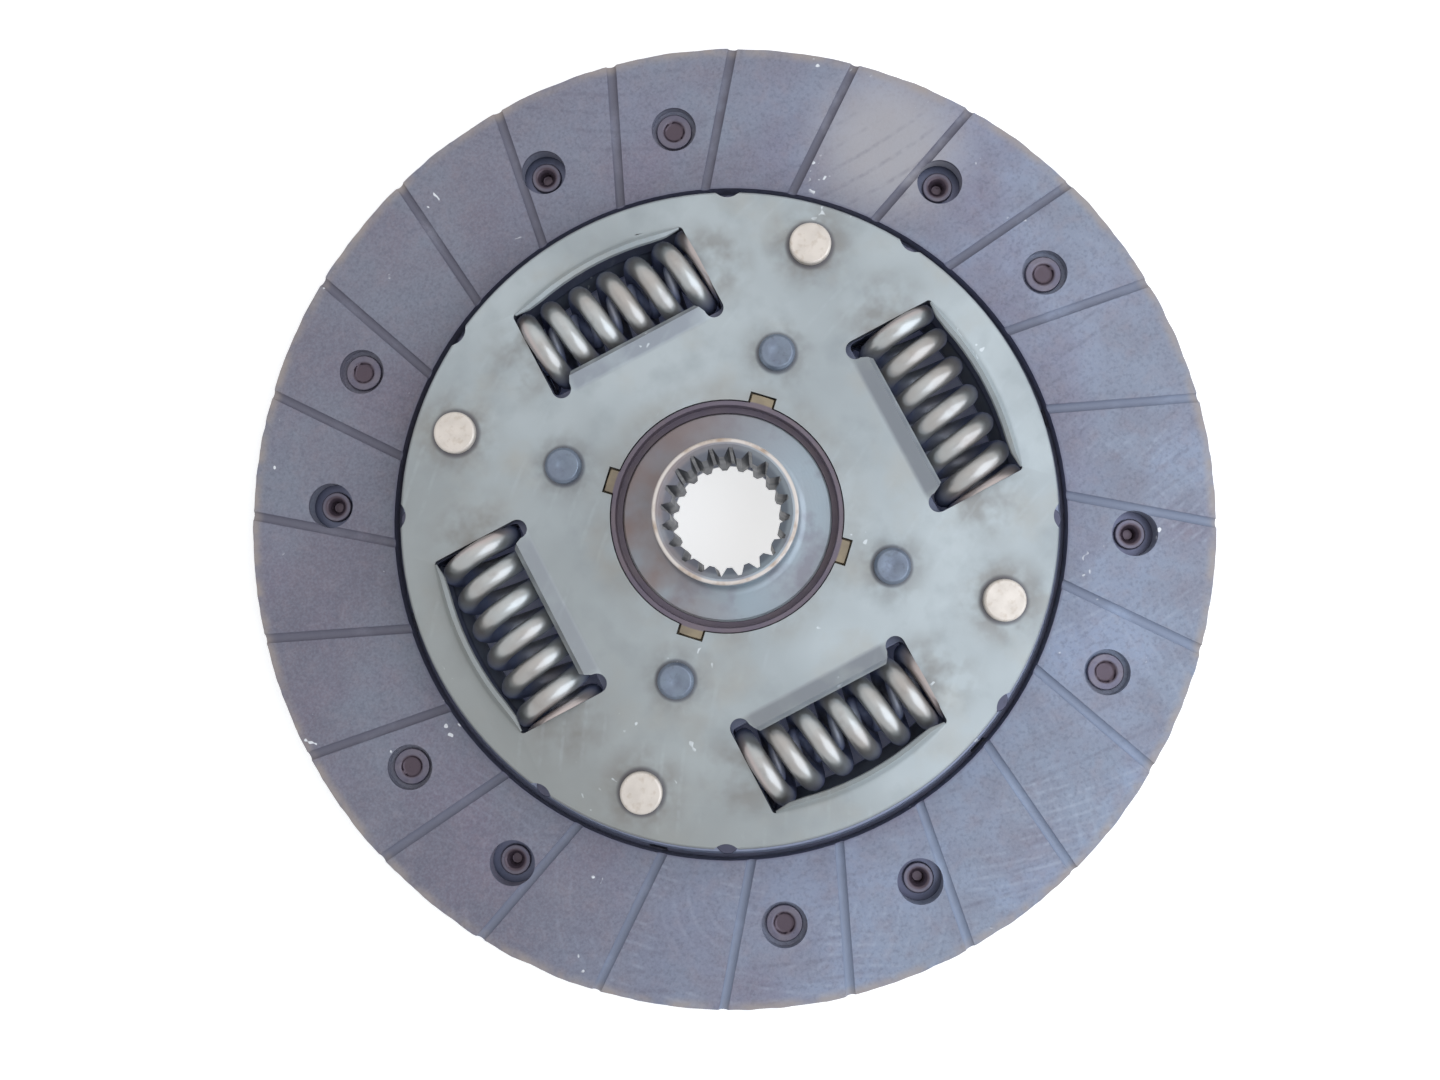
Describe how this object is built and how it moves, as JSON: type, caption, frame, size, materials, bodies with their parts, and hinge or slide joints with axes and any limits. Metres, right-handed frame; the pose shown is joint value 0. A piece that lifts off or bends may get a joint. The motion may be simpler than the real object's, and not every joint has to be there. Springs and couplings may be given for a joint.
{
  "type": "clutch disc",
  "caption": "Friction disc of a dry clutch: two grooved linings riveted to a waved spring plate, round a splined hub that turns against coil springs in pressed windows.",
  "frame": {"origin": "on the hub's axis, at the friction face of the rear lining", "axes": "+Z along the hub's axis, towards the retainer plate; +X through the middle of the first spring window"},
  "size_m": [0.2, 0.2, 0.0293],
  "materials": {
    "friction_lining": "moulded friction material, matte, with fine scratches",
    "lining_rivet": "tarnished, satin",
    "spring_steel": "blued, satin",
    "drive_steel": "pressed, oiled grey, satin",
    "retainer_steel": "pressed, satin grey with brown stains",
    "pin_steel": "bright, headed cold",
    "dark_rivet": "dark blue-grey, satin",
    "friction_bush": "ochre resin, matte",
    "hub_steel": "turned and broached, satin",
    "coil_steel": "wound wire, glossy from oil"
  },
  "bodies": {
    "disc_body": {"front_lining": "friction_lining", "rear_lining": "friction_lining", "front_lining_rivets": "lining_rivet", "rear_lining_rivets": "lining_rivet", "cushion_plate": "spring_steel", "cushion_rivets": "dark_rivet", "drive_plate": "drive_steel", "retainer_plate": "retainer_steel", "stop_pins": "pin_steel", "ring_rivets": "dark_rivet", "bush_ring": "drive_steel", "front_bush": "friction_bush", "rear_bush": "friction_bush", "thrust_washer": "spring_steel", "disc_spring": "spring_steel"},
    "hub": {"hub": "hub_steel"},
    "springs": {"damper_spring_1": "coil_steel", "damper_spring_2": "coil_steel", "damper_spring_3": "coil_steel", "damper_spring_4": "coil_steel", "inner_spring_2": "coil_steel", "inner_spring_4": "coil_steel"}
  },
  "joints": [
    {"name": "hub_turn", "type": "hinge", "parent": "disc_body", "child": "hub", "pos_m": [0, 0, 0.0111], "axis": [0, 0, 1], "range_deg": [-8, 8], "stiffness_Nm_per_rad": 860, "deforming": ["damper_spring_1", "damper_spring_2", "damper_spring_3", "damper_spring_4", "inner_spring_2", "inner_spring_4"]},
    {"name": "springs_turn", "type": "hinge", "parent": "disc_body", "child": "springs", "pos_m": [0, 0, 0.0111], "axis": [0, 0, 1], "range_deg": [-4, 4]}
  ],
  "couplings": [
    {"joint": "springs_turn", "follows": "hub_turn", "ratio": 0.5}
  ]
}
